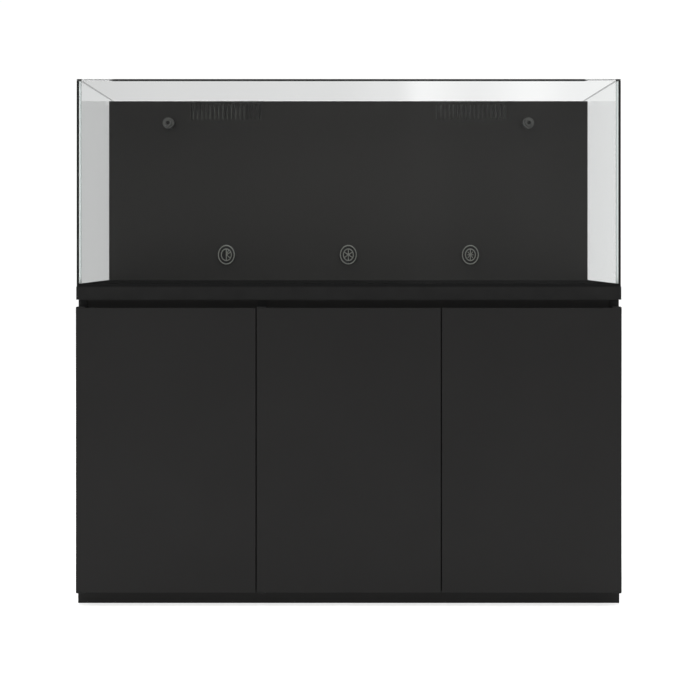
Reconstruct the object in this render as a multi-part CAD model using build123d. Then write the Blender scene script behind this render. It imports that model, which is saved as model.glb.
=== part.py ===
from build123d import *
import os

# Rimless reef aquarium with a rear weir, on a three-door cabinet.
# Millimetres. X to the right, Y to the back, Z up, origin on the floor under the middle.

# Overall size
WIDTH = 1500.0
DEPTH = 620.0
HEIGHT = 1446.0
Y_FRONT = -DEPTH / 2
Y_REAR = DEPTH / 2
TOUCH = 0.3
OVER = 1.0

# Stack of heights
PLINTH_H = 37.0
CABINET_TOP = 816.5
GROOVE_H = 21.5
BOARD_H = 26.0
MAT_H = 3.0
BAND_H = 36.0
Z_GROOVE = CABINET_TOP + GROOVE_H
Z_MAT = Z_GROOVE + BOARD_H
Z_TANK = Z_MAT + MAT_H

# Boards and doors
BOARD = 18.0
DOOR_T = 18.0
DOOR_BACK_GAP = 2.0
DOOR_SIDE_GAP = 3.0
DOOR_EDGE_GAP = 0.5
DOOR_SEAM_X = 253.5
Y_DOOR_BACK = Y_FRONT + DOOR_T
Y_CARCASS = Y_DOOR_BACK + DOOR_BACK_GAP
Y_CARCASS_REAR = Y_REAR - 2.0
CABINET_INSET = 2.75
FRONT_INSET = 22.0
PLINTH_RECESS = 15.0
PLINTH_REAR_RECESS = 20.0
REAR_GROOVE = 6.0
Y_RAIL = Y_CARCASS + FRONT_INSET
RAIL_H = 60.0
BACK_T = 8.0
X_TRIM = WIDTH / 2
X_SIDE = X_TRIM - CABINET_INSET
X_BAY = X_SIDE - BOARD
POST_DEPTH = 80.0
REAR_POST_DEPTH = 25.0
PIPE_CLEAR = 6.0
OPENING_X = (-500.0, 0.0, 500.0)
OPENING_HALF = 90.0
OPENING_Z = (500.0, 580.0)
OPENING_CORNER = 30.0
DOOR_CHAMFER = 0.6

# Glass tank
TRIM_T = 1.0
GLASS = 12.0
BOTTOM_GLASS = 15.0
TRIM_PLAY = 0.3
X_GLASS = X_TRIM - TRIM_T - TRIM_PLAY
Y_GLASS = Y_CARCASS + TRIM_T + TRIM_PLAY
Y_GLASS_REAR = Y_REAR - 2.0
X_IN = X_GLASS - GLASS
Y_IN = Y_GLASS + GLASS
Y_IN_REAR = Y_GLASS_REAR - GLASS
Z_IN = Z_TANK + BOTTOM_GLASS
RIM_ROUND = GLASS / 2 - 0.1
JOINT = 1.0
BEAD = 5.0
FILM_T = 0.5

# Weir
Y_WEIR = Y_GLASS + 476.0
WEIR_T = 10.0
Y_WEIR_BACK = Y_WEIR + WEIR_T
WEIR_TOP = 1432.0
DIVIDER_X = 505.0
DIVIDER_T = 6.0
DIVIDER_DROP = 5.0
PANEL_PLAY = 0.5
COMB_SLOTS = 17
COMB_PITCH = 13.0
COMB_X = 376.0
COMB_W = 5.0
COMB_LOW = 1377.0
COMB_HIGH = 1423.0
Y_BAY = (Y_WEIR_BACK + Y_IN_REAR) / 2

# Return jets
JET_X = 552.0
JET_Z = 1364.0
FLANGE_R = 17.0
FLANGE_T = 4.0
PORT_R = 12.0
BORE_R = 9.0
PORT_TAIL = 24.0
NUT_T = 8.0
NUT_ACROSS = 34.0
RING_LENGTH = 15.7
RING_BORE_R = 6.0
RING_TAIL = 6.0
RING_ROUND = 1.5
BALL_R = 12.0
BALL_PLAY = 0.3
BALL_IN = 11.7
FIT = 0.05
TRUNNION_R = 2.0
TRUNNION_HALF = 15.5
TRUNNION_HOLE_HALF = 16.0
SPOUT_R = 9.0
SPOUT_REACH = 16.0
Y_BALL = Y_WEIR - FLANGE_T - TOUCH - BALL_IN

# Intake guards
INTAKE_X = 375.0
INTAKE_Z = 960.0
INTAKE_R = 30.0
INTAKE_BORE = 20.0
INTAKE_TAIL_R = 23.0
INTAKE_PROUD = 5.0
INTAKE_ROUND = 1.5
INTAKE_NUT_ACROSS = 62.0
DISC_SET_BACK = 0.5
DISC_T = 4.0
SLOT_OFFSETS = (-12, -6, 0, 6, 12)
SLOT_REACH = 16.0
SLOT_HALF = 1.8
HUB_HOLES = 6
HUB_HOLE_AT = 11.5
HUB_HOLE_R = 4.2
HUB_R = 4.5
HUB_HALF = 2.0

# Drains and returns
DRAIN_X = (-440.0, -340.0)
STANDPIPE_TOP = (1340.0, 1400.0)
PIPE_R = 16.0
PIPE_WALL = 2.5
STAND_R = 20.0
RETURN_R = 12.5
RETURN_WALL = 2.0
BULKHEAD_R = 28.0
BULKHEAD_T = 8.0
BULKHEAD_THREAD_R = 20.0
BULKHEAD_BORE_R = 13.0
GASKET_T = 3.0
HOLE_PLAY = 1.0
NUT_CLEAR = 6.0
BULKHEAD_NUT_ACROSS = 54.0
BULKHEAD_NUT_T = 14.0
CAP_WALL = 4.0
CAP_H = 26.0
CAP_TOP_T = 4.0
CAP_ROUND = 3.0
CAP_SLOTS = 4
CAP_SLOT_HALF = 2.0
CAP_SLOT_Z = (4.0, 18.0)
RISER_BEND = 26.0
PIPE_BEND = 36.0
TAIL_Z = 790.0
DRAIN_Y = 130.0
DRAIN_TURN_Z = 700.0
DRAIN_END_Z = 385.0
MANIFOLD_Z = 640.0
VALVE_Z = 540.0
GATE_BODY_R = 26.0
GATE_BODY_HALF = 38.0
GATE_BONNET_R = 20.0
GATE_BONNET_REACH = 62.0
GATE_STEM_REACH = 84.0
STEM_R = 5.0
WHEEL_HUB = (9.0, 70.0, 82.0)
WHEEL_RIM = (30.0, 24.0, 72.0, 80.0)
WHEEL_SPOKES = 5
WHEEL_SPOKE = (8.0, 25.0, 2.5)
BALL_BODY_R = 22.0
BALL_BODY_HALF = 34.0
BALL_STEM_REACH = 40.0
LEVER_HUB = (11.0, 24.0, 38.0)
LEVER_T = (31.0, 37.0)
LEVER_HALF = 5.0
LEVER_SPAN = (10.0, 62.0)
LEVER_CORNER = 4.0

# Sump
SUMP_X = (-700.0, 200.0)
SUMP_Y = (-170.0, 220.0)
SUMP_Z = 63.0
SUMP_TOP = 433.0
SUMP_GLASS = 8.0
BAFFLE_T = 6.0
BAFFLES = ((-310.0, 0.0, 330.0), (-60.0, 0.0, 300.0), (-30.0, 30.0, 340.0))
SOCK_X = (-600.0, -440.0)
SOCK_R = 55.0
SOCK_LENGTH = 220.0
SOCK_PLATE_Z = 350.0
SOCK_PLATE_T = 6.0
SOCK_RIM = 6.0
SOCK_RIM_T = 4.0
SOCK_PLAY = 1.0
SOCK_WALL = 4.0
SOCK_FOOT_ROUND = 30.0
PIPE_HOLE_PLAY = 3.0

# Return pump
PUMP_X = 100.0
PUMP_Y = 20.0
PUMP_TOP = 240.0
PUMP_AXIS = 58.0
PUMP_BASE = (40.0, -60.0, 80.0, 8.0)
PUMP_BASE_CORNER = 8.0
PUMP_MOTOR = (46.0, 20.0, 90.0)
PUMP_VOLUTE = (52.0, -24.0, 20.0)
PUMP_INLET = (16.0, -50.0, -24.0)
PUMP_FOOT = (30.0, -20.0, 80.0, 40.0)
PUMP_OUTLET_R = 18.0

# Pivot hinges
PIVOT = 5.0
PIN_R = 2.5
LEAF_T = 2.5
LEAF_LENGTH = 50.0
LEAF_W = 15.0
LEAF_FROM_EDGE = 1.0
PIN_OUT = 2.7
BRACKET_W = 24.0
BRACKET_INSET = 0.5
UPSTAND_DROP = 3.0
STRIKE_LOW = 440.0
STRIKE_HIGH = 480.0
STRIKE_IN = 25.0
STRIKE_W = 24.0
STRIKE_T = 1.5
MAGNET_W = 14.0
MAGNET_DEPTH = 41.5
BUMPER_R = 3.5
BUMPER_T = 1.6
BUMPER_IN = 5.0
BUMPER_Z = (90.0, 740.0)

DOORS = {
    "left": (-X_SIDE, -DOOR_SEAM_X - DOOR_SIDE_GAP / 2, 1),
    "middle": (-DOOR_SEAM_X + DOOR_SIDE_GAP / 2, DOOR_SEAM_X - DOOR_SIDE_GAP / 2, 1),
    "right": (DOOR_SEAM_X + DOOR_SIDE_GAP / 2, X_SIDE, -1),
}
DOOR_LOW = PLINTH_H + DOOR_EDGE_GAP
DOOR_HIGH = CABINET_TOP - DOOR_EDGE_GAP


def block(x0, x1, y0, y1, z0, z1):
    """A box between two corners."""
    low = (min(x0, x1), min(y0, y1), min(z0, z1))
    size = (abs(x1 - x0), abs(y1 - y0), abs(z1 - z0))
    corner = (Align.MIN, Align.MIN, Align.MIN)
    return Pos(*low) * Box(*size, align=corner)


def rod(axis, centre, radius, start, end):
    """A cylinder along X, Y or Z; centre gives the two other coordinates in order."""
    first, second = centre
    middle = (start + end) / 2
    length = abs(end - start)
    if axis == "x":
        return Pos(middle, first, second) * Rot(0, 90, 0) * Cylinder(radius, length)
    if axis == "y":
        return Pos(first, middle, second) * Rot(90, 0, 0) * Cylinder(radius, length)
    return Pos(first, second, middle) * Cylinder(radius, length)


def tube(axis, centre, outer, inner, start, end):
    """A straight tube."""
    return rod(axis, centre, outer, start, end) - rod(axis, centre, inner, start, end)


def bent_pipe(points, bend, outer, inner):
    """A pipe along straight runs joined by tangent arcs."""
    path = FilletPolyline(*points, radius=bend)
    start = Plane(origin=path @ 0, z_dir=path % 0)
    ring = start * (Circle(outer) - Circle(inner))
    return sweep(ring, path=path)


def hexagon(axis, centre, across, bore, start, end):
    """A hexagon nut along Y or Z."""
    first, second = centre
    length = abs(end - start)
    body = extrude(RegularPolygon(across / 2, 6, major_radius=False), length / 2, both=True)
    middle = (start + end) / 2
    if axis == "y":
        placed = Pos(first, middle, second) * Rot(90, 0, 0) * body
    else:
        placed = Pos(first, second, middle) * body
    return placed - rod(axis, centre, bore, start, end)


def soften(shape, size, axis=Axis.Z):
    """Rounds the edges that run along one axis."""
    return fillet(shape.edges().filter_by(axis), size)


def rounded_rim(pane, along):
    """Rounds both long top edges of a pane, as polished rimless glass has them."""
    return fillet(pane.edges().group_by(Axis.Z)[-1].filter_by(along), RIM_ROUND)


# Tank

def front_glass():
    return rounded_rim(block(-X_GLASS, X_GLASS, Y_GLASS, Y_IN, Z_IN, HEIGHT), Axis.X)


def rear_glass():
    return rounded_rim(block(-X_GLASS, X_GLASS, Y_IN_REAR, Y_GLASS_REAR, Z_IN, HEIGHT), Axis.X)


def side_glass(side):
    y0 = Y_IN + JOINT
    y1 = Y_IN_REAR - JOINT
    return rounded_rim(block(side * X_IN, side * X_GLASS, y0, y1, Z_IN, HEIGHT), Axis.Y)


def bottom_glass():
    pane = block(-X_GLASS, X_GLASS, Y_GLASS, Y_GLASS_REAR, Z_TANK, Z_IN)
    for x in DRAIN_X + (-JET_X, JET_X):
        pane -= rod("z", (x, Y_BAY), BULKHEAD_THREAD_R + HOLE_PLAY, Z_TANK - OVER, Z_IN + OVER)
    return pane


def silicone_seams():
    """The black joint at each upright corner, between a long pane and a side pane's end."""
    seams = []
    for side in (-1, 1):
        for y in (Y_IN, Y_IN_REAR - JOINT):
            x0 = side * X_GLASS
            seams.append(block(x0, x0 - side * BEAD, y, y + JOINT, Z_IN, HEIGHT - RIM_ROUND))
    return seams


def rear_film():
    """Black film on the outside of the rear pane, up to the weir's height."""
    return block(-X_GLASS, X_GLASS, Y_GLASS_REAR, Y_GLASS_REAR + FILM_T, Z_IN, WEIR_TOP)


def weir_panel():
    panel = block(-X_IN + PANEL_PLAY, X_IN - PANEL_PLAY, Y_WEIR, Y_WEIR_BACK, Z_IN, WEIR_TOP)
    for x in (-JET_X, JET_X):
        panel -= rod("y", (x, JET_Z), PORT_R, Y_WEIR - OVER, Y_WEIR_BACK + OVER)
    for x in (-INTAKE_X, 0, INTAKE_X):
        panel -= rod("y", (x, INTAKE_Z), INTAKE_TAIL_R, Y_WEIR - OVER, Y_WEIR_BACK + OVER)
    slots = []
    for side in (-1, 1):
        for index in range(COMB_SLOTS):
            x = side * COMB_X + (index - (COMB_SLOTS - 1) / 2) * COMB_PITCH
            half = COMB_W / 2
            y1 = Y_WEIR_BACK + OVER
            slots.append(block(x - half, x + half, Y_WEIR - OVER, y1, COMB_LOW, COMB_HIGH))
    return panel - slots


def weir_dividers():
    dividers = []
    for x in (-DIVIDER_X, DIVIDER_X):
        half = DIVIDER_T / 2
        dividers.append(block(x - half, x + half, Y_WEIR_BACK, Y_IN_REAR, Z_IN, WEIR_TOP - DIVIDER_DROP))
    return dividers


def base_trim():
    high = Z_GROOVE + BAND_H
    outer = soften(block(-X_TRIM, X_TRIM, Y_CARCASS, Y_REAR, Z_GROOVE, high), TRIM_T)
    x = X_TRIM - TRIM_T
    return outer - block(-x, x, Y_CARCASS + TRIM_T, Y_REAR - TRIM_T, Z_GROOVE - OVER, high + OVER)


def levelling_mat():
    mat = block(-X_GLASS, X_GLASS, Y_GLASS, Y_GLASS_REAR, Z_MAT, Z_TANK)
    return mat - bulkhead_holes(Z_MAT, Z_TANK)


def bulkhead_holes(low, high):
    holes = []
    for x in DRAIN_X + (-JET_X, JET_X):
        holes.append(rod("z", (x, Y_BAY), BULKHEAD_R + NUT_CLEAR, low - OVER, high + OVER))
    return holes


# Cabinet

def top_board():
    board = block(-X_GLASS, X_GLASS, Y_GLASS, Y_GLASS_REAR, Z_GROOVE, Z_MAT)
    return board - bulkhead_holes(Z_GROOVE, Z_MAT)


def groove_frame():
    x = X_SIDE
    rear = Y_CARCASS_REAR - REAR_GROOVE
    front_board = block(-x, x, Y_RAIL, Y_RAIL + BOARD, CABINET_TOP, Z_GROOVE)
    rear_board = block(-x, x, rear - BOARD, rear, CABINET_TOP, Z_GROOVE)
    boards = [front_board, rear_board]
    for side in (-1, 1):
        board = block(side * x, side * (x - BOARD), Y_RAIL + BOARD, rear - BOARD, CABINET_TOP, Z_GROOVE)
        boards.append(board)
    return boards


def top_rails():
    low = CABINET_TOP - RAIL_H
    front = block(-X_BAY, X_BAY, Y_RAIL, Y_RAIL + BOARD, low, CABINET_TOP)
    rear_face = Y_CARCASS_REAR - BACK_T
    rear = block(-X_BAY, X_BAY, rear_face - BOARD, rear_face, low, CABINET_TOP)
    return [front, rear]


def side_panel(side):
    return block(side * X_BAY, side * X_SIDE, Y_CARCASS, Y_CARCASS_REAR, PLINTH_H, CABINET_TOP)


def partition():
    half = BOARD / 2
    low = PLINTH_H + BOARD
    rear = Y_CARCASS_REAR - BACK_T
    x0 = DOOR_SEAM_X - half
    x1 = DOOR_SEAM_X + half
    board = block(x0, x1, Y_CARCASS, rear, low, CABINET_TOP - RAIL_H)
    pipe_hole = rod("x", (Y_BAY, MANIFOLD_Z), RETURN_R + PIPE_CLEAR, x0 - OVER, x1 + OVER)
    return board - pipe_hole


def door_posts():
    half = BOARD / 2
    low = PLINTH_H + BOARD
    high = CABINET_TOP - RAIL_H
    rear = Y_CARCASS_REAR - BACK_T
    x0 = -DOOR_SEAM_X - half
    x1 = -DOOR_SEAM_X + half
    front_post = block(x0, x1, Y_CARCASS, Y_CARCASS + POST_DEPTH, low, high)
    rear_post = block(x0, x1, rear - REAR_POST_DEPTH, rear, low, high)
    return [front_post, rear_post]


def cabinet_floor():
    return block(-X_BAY, X_BAY, Y_CARCASS, Y_CARCASS_REAR, PLINTH_H, PLINTH_H + BOARD)


def back_panel():
    low = PLINTH_H + BOARD
    rear = Y_CARCASS_REAR
    panel = block(-X_BAY, X_BAY, rear - BACK_T, rear, low, CABINET_TOP)
    for x in OPENING_X:
        x0 = x - OPENING_HALF
        x1 = x + OPENING_HALF
        opening = block(x0, x1, rear - BACK_T - OVER, rear + OVER, *OPENING_Z)
        panel -= soften(opening, OPENING_CORNER, Axis.Y)
    return panel


def plinth():
    x = X_SIDE
    front = Y_CARCASS + PLINTH_RECESS
    rear = Y_CARCASS_REAR - PLINTH_REAR_RECESS
    boards = [
        block(-x, x, front, front + BOARD, 0, PLINTH_H),
        block(-x, x, rear - BOARD, rear, 0, PLINTH_H),
    ]
    for centre in (-x + BOARD / 2, -DOOR_SEAM_X, DOOR_SEAM_X, x - BOARD / 2):
        half = BOARD / 2
        boards.append(block(centre - half, centre + half, front + BOARD, rear - BOARD, 0, PLINTH_H))
    return boards


# Doors and their pivot hinges

def hinge_side(name):
    """The door's hinged edge and the direction from it into the door."""
    low, high, inward = DOORS[name]
    return (low if inward > 0 else high), inward


def leaf_recess(name, top):
    edge, inward = hinge_side(name)
    x0 = edge + inward * LEAF_FROM_EDGE
    x1 = edge + inward * LEAF_LENGTH
    y0 = Y_FRONT + LEAF_FROM_EDGE
    y1 = y0 + LEAF_W
    if top:
        return block(x0, x1, y0, y1, DOOR_HIGH - LEAF_T, DOOR_HIGH)
    return block(x0, x1, y0, y1, DOOR_LOW, DOOR_LOW + LEAF_T)


def strike_x(name):
    low, high, inward = DOORS[name]
    return (high - STRIKE_IN) if inward > 0 else (low + STRIKE_IN)


def strike_recess(name):
    x = strike_x(name)
    half = STRIKE_W / 2
    return block(x - half, x + half, Y_DOOR_BACK - STRIKE_T, Y_DOOR_BACK, STRIKE_LOW, STRIKE_HIGH)


def door(name):
    low, high, _ = DOORS[name]
    slab = block(low, high, Y_FRONT, Y_DOOR_BACK, DOOR_LOW, DOOR_HIGH)
    slab = chamfer(slab.faces().sort_by(Axis.Y)[0].edges(), DOOR_CHAMFER)
    slab -= leaf_recess(name, True)
    slab -= leaf_recess(name, False)
    return slab - strike_recess(name)


def hinge_leaves(name):
    """Two steel leaves let into the door's ends, each with its pivot pin."""
    edge, inward = hinge_side(name)
    axis = (edge + inward * PIVOT, Y_FRONT + PIVOT)
    upper_pin = rod("z", axis, PIN_R, DOOR_HIGH - LEAF_T, DOOR_HIGH + PIN_OUT)
    lower_pin = rod("z", axis, PIN_R, DOOR_LOW - PIN_OUT, DOOR_LOW + LEAF_T)
    upper = leaf_recess(name, True) + upper_pin
    lower = leaf_recess(name, False) + lower_pin
    return [upper, lower]


def hinge_brackets():
    """The six fixed halves: a plate with the pin's hole, on the rail above or the floor below."""
    brackets = []
    for name in DOORS:
        edge, inward = hinge_side(name)
        x0 = edge + inward * BRACKET_INSET
        x1 = x0 + inward * BRACKET_W
        hole = rod("z", (edge + inward * PIVOT, Y_FRONT + PIVOT), PIN_R + FIT, 0, HEIGHT)
        front = Y_FRONT + BRACKET_INSET
        upstand_low = CABINET_TOP + LEAF_T
        plate = block(x0, x1, front, Y_RAIL, CABINET_TOP, upstand_low)
        upstand = block(x0, x1, Y_RAIL - LEAF_T, Y_RAIL, upstand_low, Z_GROOVE - UPSTAND_DROP)
        brackets.append(plate + upstand - hole)
        plinth_face = Y_CARCASS + PLINTH_RECESS
        lower = block(x0, x1, front, plinth_face, PLINTH_H - LEAF_T, PLINTH_H)
        brackets.append(lower - hole)
    return brackets


def strike_plate(name):
    return strike_recess(name)


def catch_magnets():
    """Three magnet blocks behind the doors' free edges."""
    seams = {"left": (-DOOR_SEAM_X - BOARD / 2, -1), "middle": (DOOR_SEAM_X - BOARD / 2, -1)}
    seams["right"] = (DOOR_SEAM_X + BOARD / 2, 1)
    magnets = []
    front = Y_DOOR_BACK + DOOR_EDGE_GAP
    for face, away in seams.values():
        side = face + away * MAGNET_W
        magnets.append(block(face, side, front, front + MAGNET_DEPTH, STRIKE_LOW, STRIKE_HIGH))
    return magnets


def door_bumpers():
    """Soft buttons on the carcass edges that the doors close against."""
    buttons = []
    for x in (-DOOR_SEAM_X - BUMPER_IN, DOOR_SEAM_X - BUMPER_IN, DOOR_SEAM_X + BUMPER_IN):
        for z in BUMPER_Z:
            buttons.append(rod("y", (x, z), BUMPER_R, Y_CARCASS - BUMPER_T, Y_CARCASS))
    return buttons


# Return jets

def return_flanges():
    flanges = []
    for x in (-JET_X, JET_X):
        centre = (x, JET_Z)
        face = Y_WEIR - FLANGE_T
        disc = rod("y", centre, FLANGE_R, face, Y_WEIR)
        tail = rod("y", centre, PORT_R, Y_WEIR, Y_WEIR + PORT_TAIL)
        bore = rod("y", centre, BORE_R, face - OVER, Y_WEIR + PORT_TAIL + OVER)
        flanges.append(disc + tail - bore)
    return flanges


def jet_ring(x):
    """Turns in the flange about its own axis and carries the jet on two trunnions."""
    centre = (x, JET_Z)
    rear = Y_WEIR - FLANGE_T - TOUCH
    ring = rod("y", centre, FLANGE_R, rear - RING_LENGTH, rear)
    ring = fillet(ring.edges().sort_by(Axis.Y)[0], RING_ROUND)
    ring += rod("y", centre, BORE_R - FIT, rear, rear + RING_TAIL)
    ring -= rod("y", centre, RING_BORE_R, rear - RING_LENGTH - OVER, rear + RING_TAIL + OVER)
    ring -= Pos(x, Y_BALL, JET_Z) * Sphere(BALL_R + BALL_PLAY)
    half = TRUNNION_HOLE_HALF
    return ring - rod("x", (Y_BALL, JET_Z), TRUNNION_R + FIT, x - half, x + half)


def jet(x):
    ball = Pos(x, Y_BALL, JET_Z) * Sphere(BALL_R)
    spout = rod("y", (x, JET_Z), SPOUT_R, Y_BALL - SPOUT_REACH, Y_BALL)
    pins = rod("x", (Y_BALL, JET_Z), TRUNNION_R, x - TRUNNION_HALF, x + TRUNNION_HALF)
    front = Y_BALL - SPOUT_REACH - OVER
    bore = rod("y", (x, JET_Z), RING_BORE_R, front, Y_BALL + BALL_R + OVER)
    return ball + spout + pins - bore


def panel_nuts():
    nuts = []
    span = (Y_WEIR_BACK, Y_WEIR_BACK + NUT_T)
    for x in (-JET_X, JET_X):
        nuts.append(hexagon("y", (x, JET_Z), NUT_ACROSS, PORT_R, *span))
    for x in (-INTAKE_X, 0, INTAKE_X):
        nuts.append(hexagon("y", (x, INTAKE_Z), INTAKE_NUT_ACROSS, INTAKE_TAIL_R, *span))
    return nuts


# Intake guards

def intake_flanges():
    flanges = []
    for x in (-INTAKE_X, 0, INTAKE_X):
        centre = (x, INTAKE_Z)
        face = Y_WEIR - INTAKE_PROUD
        disc = rod("y", centre, INTAKE_R, face, Y_WEIR)
        disc = fillet(disc.edges().sort_by(Axis.Y)[0], INTAKE_ROUND)
        tail = rod("y", centre, INTAKE_TAIL_R, Y_WEIR, Y_WEIR_BACK + NUT_T)
        bore = rod("y", centre, INTAKE_BORE, face - OVER, Y_WEIR_BACK + NUT_T + OVER)
        flanges.append(disc + tail - bore)
    return flanges


def intake_disc(x):
    face = Y_WEIR - INTAKE_PROUD + DISC_SET_BACK
    return rod("y", (x, INTAKE_Z), INTAKE_BORE, face, face + DISC_T)


def intake_grilles():
    """The round guards: radial openings in the middle one, upright slots in the outer two."""
    grilles = []
    cut = (Y_WEIR - INTAKE_PROUD - OVER, Y_WEIR)
    for x in (-INTAKE_X, INTAKE_X):
        disc = intake_disc(x)
        for offset in SLOT_OFFSETS:
            reach = SLOT_REACH - abs(offset) / 3
            x0 = x + offset - SLOT_HALF
            x1 = x + offset + SLOT_HALF
            disc -= block(x0, x1, *cut, INTAKE_Z - reach, INTAKE_Z + reach)
        grilles.append(disc)
    middle = intake_disc(0)
    for turn in range(HUB_HOLES):
        hole = Rot(0, 360 / HUB_HOLES * turn, 0) * rod("y", (HUB_HOLE_AT, 0), HUB_HOLE_R, *cut)
        middle -= Pos(0, 0, INTAKE_Z) * hole
    face = Y_WEIR - INTAKE_PROUD
    grilles.append(middle + rod("y", (0, INTAKE_Z), HUB_R, face - HUB_HALF, face + HUB_HALF))
    return grilles


# Drains and returns

def bulkheads():
    bodies = []
    for x in DRAIN_X + (-JET_X, JET_X):
        centre = (x, Y_BAY)
        seat = Z_IN + GASKET_T
        top = seat + BULKHEAD_T
        head = rod("z", centre, BULKHEAD_R, seat, top)
        thread = rod("z", centre, BULKHEAD_THREAD_R, TAIL_Z, seat)
        bodies.append(head + thread - rod("z", centre, BULKHEAD_BORE_R, TAIL_Z - OVER, top + OVER))
    return bodies


def bulkhead_gaskets():
    rings = []
    for x in DRAIN_X + (-JET_X, JET_X):
        rings.append(tube("z", (x, Y_BAY), BULKHEAD_R, BULKHEAD_THREAD_R, Z_IN, Z_IN + GASKET_T))
    return rings


def bulkhead_nuts():
    nuts = []
    for x in DRAIN_X + (-JET_X, JET_X):
        span = (Z_TANK - BULKHEAD_NUT_T, Z_TANK)
        nuts.append(hexagon("z", (x, Y_BAY), BULKHEAD_NUT_ACROSS, BULKHEAD_THREAD_R, *span))
    return nuts


def standpipes():
    foot = Z_IN + GASKET_T + BULKHEAD_T
    return [
        tube("z", (x, Y_BAY), STAND_R, STAND_R - PIPE_WALL, foot, top)
        for x, top in zip(DRAIN_X, STANDPIPE_TOP)
    ]


def strainer_caps():
    caps = []
    for x, top in zip(DRAIN_X, STANDPIPE_TOP):
        outer = STAND_R + CAP_WALL
        slot_low, slot_high = CAP_SLOT_Z
        cap = rod("z", (x, Y_BAY), outer, top, top + CAP_H)
        cap = fillet(cap.edges().sort_by(Axis.Z)[-1], CAP_ROUND)
        cap -= rod("z", (x, Y_BAY), STAND_R, top - OVER, top + CAP_H - CAP_TOP_T)
        for turn in range(CAP_SLOTS):
            half = CAP_SLOT_HALF
            reach = outer + OVER
            slot = block(-half, half, -reach, reach, top + slot_low, top + slot_high)
            cap -= Pos(x, Y_BAY, 0) * Rot(0, 0, 180 / CAP_SLOTS * turn) * slot
        caps.append(cap)
    return caps


def return_risers():
    foot = Z_IN + GASKET_T + BULKHEAD_T
    end = Y_WEIR + PORT_TAIL
    risers = []
    for x in (-JET_X, JET_X):
        points = [(x, Y_BAY, foot), (x, Y_BAY, JET_Z), (x, end, JET_Z)]
        risers.append(bent_pipe(points, RISER_BEND, RETURN_R, RETURN_R - RETURN_WALL))
    return risers


def drain_pipes():
    pipes = []
    for x in DRAIN_X:
        points = [(x, Y_BAY, TAIL_Z), (x, Y_BAY, DRAIN_TURN_Z), (x, DRAIN_Y, DRAIN_TURN_Z)]
        points.append((x, DRAIN_Y, DRAIN_END_Z))
        pipes.append(bent_pipe(points, PIPE_BEND, PIPE_R, PIPE_R - PIPE_WALL))
    return pipes


def return_pipes():
    """The pump's riser, bent back to the cross pipe that feeds both ends of the tank."""
    cross_points = [(-JET_X, Y_BAY, TAIL_Z), (-JET_X, Y_BAY, MANIFOLD_Z)]
    cross_points += [(JET_X, Y_BAY, MANIFOLD_Z), (JET_X, Y_BAY, TAIL_Z)]
    inner = RETURN_R - RETURN_WALL
    cross = bent_pipe(cross_points, PIPE_BEND, RETURN_R, inner)
    riser_points = [(PUMP_X, PUMP_Y, PUMP_TOP), (PUMP_X, PUMP_Y, MANIFOLD_Z)]
    riser_points.append((PUMP_X, Y_BAY - RETURN_R, MANIFOLD_Z))
    riser = bent_pipe(riser_points, PIPE_BEND, RETURN_R, inner)
    tee = rod("x", (Y_BAY, MANIFOLD_Z), RETURN_R, PUMP_X - OVER, PUMP_X + OVER)
    return [cross, riser - tee]


def gate_valve():
    x = DRAIN_X[0]
    centre = (x, DRAIN_Y)
    low = VALVE_Z - GATE_BODY_HALF
    high = VALVE_Z + GATE_BODY_HALF
    bonnet_end = DRAIN_Y - GATE_BONNET_REACH
    body = rod("z", centre, GATE_BODY_R, low, high)
    body += rod("y", (x, VALVE_Z), GATE_BONNET_R, bonnet_end, DRAIN_Y)
    body += rod("y", (x, VALVE_Z), STEM_R, DRAIN_Y - GATE_STEM_REACH, bonnet_end)
    return body - rod("z", centre, PIPE_R, low - OVER, high + OVER)


def gate_valve_wheel():
    centre = (DRAIN_X[0], VALVE_Z)
    hub_r, hub_near, hub_far = WHEEL_HUB
    rim_r, rim_inner, rim_near, rim_far = WHEEL_RIM
    start, reach, half = WHEEL_SPOKE
    wheel = tube("y", centre, hub_r, STEM_R + FIT, DRAIN_Y - hub_far, DRAIN_Y - hub_near)
    wheel += tube("y", centre, rim_r, rim_inner, DRAIN_Y - rim_far, DRAIN_Y - rim_near)
    for turn in range(WHEEL_SPOKES):
        spoke = block(start, reach, DRAIN_Y - rim_far + OVER, DRAIN_Y - rim_near - OVER, -half, half)
        wheel += Pos(DRAIN_X[0], 0, VALVE_Z) * Rot(0, 360 / WHEEL_SPOKES * turn, 0) * spoke
    return wheel


def ball_valve():
    centre = (PUMP_X, PUMP_Y)
    low = VALVE_Z - BALL_BODY_HALF
    high = VALVE_Z + BALL_BODY_HALF
    body = rod("z", centre, BALL_BODY_R, low, high)
    body += rod("y", (PUMP_X, VALVE_Z), STEM_R, PUMP_Y - BALL_STEM_REACH, PUMP_Y)
    return body - rod("z", centre, RETURN_R, low - OVER, high + OVER)


def ball_valve_handle():
    centre = (PUMP_X, VALVE_Z)
    hub_r, hub_near, hub_far = LEVER_HUB
    near, far = LEVER_T
    low, high = LEVER_SPAN
    hub = tube("y", centre, hub_r, STEM_R + FIT, PUMP_Y - hub_far, PUMP_Y - hub_near)
    x0 = PUMP_X - LEVER_HALF
    x1 = PUMP_X + LEVER_HALF
    lever = block(x0, x1, PUMP_Y - far, PUMP_Y - near, VALVE_Z + low, VALVE_Z + high)
    return hub + soften(lever, LEVER_CORNER, Axis.Y)


# Sump

def sump_bottom():
    return block(*SUMP_X, *SUMP_Y, SUMP_Z, SUMP_Z + SUMP_GLASS)


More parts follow.
